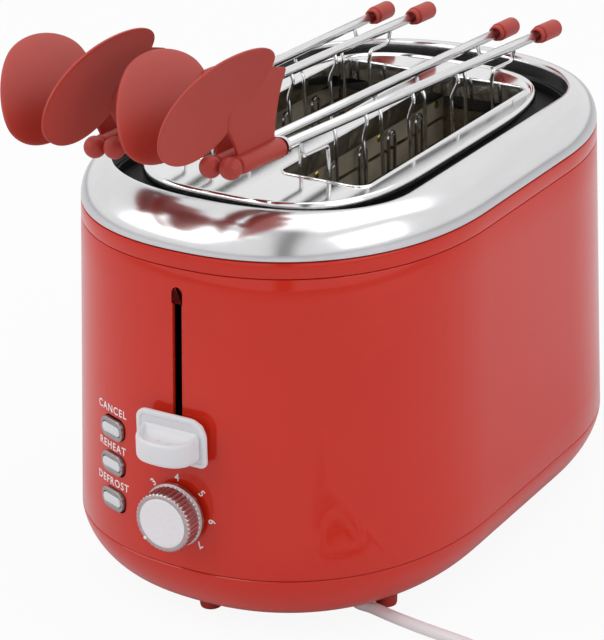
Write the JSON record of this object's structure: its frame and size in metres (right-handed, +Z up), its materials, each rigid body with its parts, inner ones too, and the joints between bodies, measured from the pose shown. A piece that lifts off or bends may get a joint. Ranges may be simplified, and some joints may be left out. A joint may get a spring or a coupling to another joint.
{
  "type": "two-slice toaster",
  "caption": "Two-slice toaster with rounded ends, a domed chrome ring round the slots, a front lever, function buttons and browning dial, and wire sandwich tongs in the slots.",
  "frame": {"origin": "on the floor, under the middle of the box of everything but the cord, its coil and the plug", "axes": "+X to the right as seen from the front with the lever, +Y to the back, +Z up"},
  "size_m": [0.2835, 0.4024, 0.2613],
  "materials": {
    "red_shell": "gloss",
    "red_base": "gloss",
    "red_feet": "matt",
    "red_handle": "satin",
    "chrome": "mirror polish",
    "polished_plate": "polished",
    "black_insulator": "matt",
    "white_plastic": "satin gloss",
    "white_cord": "satin",
    "grey_bezel": "satin",
    "bright_wire": "bright drawn",
    "mica_board": "mica sheet",
    "green_board": "satin",
    "copper_coil": "enamelled wire",
    "grey_steel": "pressed sheet"
  },
  "bodies": {
    "housing": {"base_tray": "red_base", "bezel_cancel": "grey_bezel", "bezel_defrost": "grey_bezel", "bezel_reheat": "grey_bezel", "bread_guard_left_inner": "bright_wire", "bread_guard_left_outer": "bright_wire", "bread_guard_right_inner": "bright_wire", "bread_guard_right_outer": "bright_wire", "browning_pot": "green_board", "chrome_ring": "chrome", "control_board": "green_board", "cord_coil": "white_cord", "cord_grip": "white_plastic", "electromagnet": "copper_coil", "foot_front_centre": "red_feet", "foot_front_left": "red_feet", "foot_front_right": "red_feet", "foot_rear_centre": "red_feet", "foot_rear_left": "red_feet", "foot_rear_right": "red_feet", "front_bulkhead": "grey_steel", "guide_rod": "bright_wire", "heater_board_centre": "mica_board", "heater_board_left": "mica_board", "heater_board_right": "mica_board", "insulator_ring": "black_insulator", "lift_spring": "bright_wire", "main_shell": "red_shell", "plug": "white_plastic", "power_cord": "white_cord", "rear_bulkhead": "grey_steel", "reflector_left": "grey_steel", "reflector_right": "grey_steel", "rim_band": "red_shell", "slot_plate": "polished_plate"},
    "carriage": {"lever_knob": "white_plastic", "carriage": "grey_steel", "bread_rack_left": "grey_steel", "bread_rack_right": "grey_steel", "latch_plate": "grey_steel"},
    "knob": {"browning_knob": "white_plastic", "knob_shaft": "bright_wire"},
    "cancel": {"button_cancel": "white_plastic"},
    "reheat": {"button_reheat": "white_plastic"},
    "defrost": {"button_defrost": "white_plastic"},
    "tray": {"crumb_tray": "grey_steel"},
    "left_tong_clip": {"left_tong_yoke": "bright_wire"},
    "left_tong_left_half": {"left_tong_handle_left": "red_handle", "left_tong_cage_left": "bright_wire", "left_tong_cap_left": "red_handle"},
    "left_tong_right_half": {"left_tong_handle_right": "red_handle", "left_tong_cage_right": "bright_wire", "left_tong_cap_right": "red_handle"},
    "right_tong_clip": {"right_tong_yoke": "bright_wire"},
    "right_tong_left_half": {"right_tong_handle_left": "red_handle", "right_tong_cage_left": "bright_wire", "right_tong_cap_left": "red_handle"},
    "right_tong_right_half": {"right_tong_handle_right": "red_handle", "right_tong_cage_right": "bright_wire", "right_tong_cap_right": "red_handle"}
  },
  "joints": [
    {"name": "lever", "type": "slide", "parent": "housing", "child": "carriage", "axis": [0, 0, 1], "range_m": [0, 0.058], "deforming": ["lift_spring"]},
    {"name": "browning_knob", "type": "hinge", "parent": "housing", "child": "knob", "pos_m": [0, -0.13518, 0.056], "axis": [0, 1, 0], "range_deg": [0, 270]},
    {"name": "cancel_button", "type": "slide", "parent": "housing", "child": "cancel", "axis": [0.3551, 0.9348, 0], "range_m": [0, 0.002], "stiffness_N_per_m": 400},
    {"name": "reheat_button", "type": "slide", "parent": "housing", "child": "reheat", "axis": [0.3551, 0.9348, 0], "range_m": [0, 0.002], "stiffness_N_per_m": 400},
    {"name": "defrost_button", "type": "slide", "parent": "housing", "child": "defrost", "axis": [0.3551, 0.9348, 0], "range_m": [0, 0.002], "stiffness_N_per_m": 400},
    {"name": "crumb_tray", "type": "slide", "parent": "housing", "child": "tray", "axis": [0, 1, 0], "range_m": [0, 0.2]},
    {"name": "left_tong_lift", "type": "slide", "parent": "carriage", "child": "left_tong_clip", "axis": [0.0079, 0.034, 0.9994], "range_m": [0, 0.12]},
    {"name": "left_tong_left_opening", "type": "hinge", "parent": "left_tong_clip", "child": "left_tong_left_half", "pos_m": [-0.04367, -0.12014, 0.20802], "axis": [-0.0284, 0.9989, -0.0378], "range_deg": [0, 2]},
    {"name": "left_tong_right_opening", "type": "hinge", "parent": "left_tong_clip", "child": "left_tong_right_half", "pos_m": [-0.03371, -0.12006, 0.20926], "axis": [0.0211, 0.9993, -0.0316], "range_deg": [-2, 0]},
    {"name": "right_tong_lift", "type": "slide", "parent": "carriage", "child": "right_tong_clip", "axis": [-0.0399, 0.0373, 0.9985], "range_m": [0, 0.12]},
    {"name": "right_tong_left_opening", "type": "hinge", "parent": "right_tong_clip", "child": "right_tong_left_half", "pos_m": [0.01033, -0.11609, 0.2072], "axis": [0.0188, 0.9992, -0.0356], "range_deg": [0, 2]},
    {"name": "right_tong_right_opening", "type": "hinge", "parent": "right_tong_clip", "child": "right_tong_right_half", "pos_m": [0.02031, -0.11649, 0.20825], "axis": [0.0684, 0.9972, -0.0304], "range_deg": [-2, 0]}
  ],
  "couplings": [
    {"joint": "left_tong_right_opening", "follows": "left_tong_left_opening", "ratio": -1},
    {"joint": "right_tong_right_opening", "follows": "right_tong_left_opening", "ratio": -1}
  ]
}
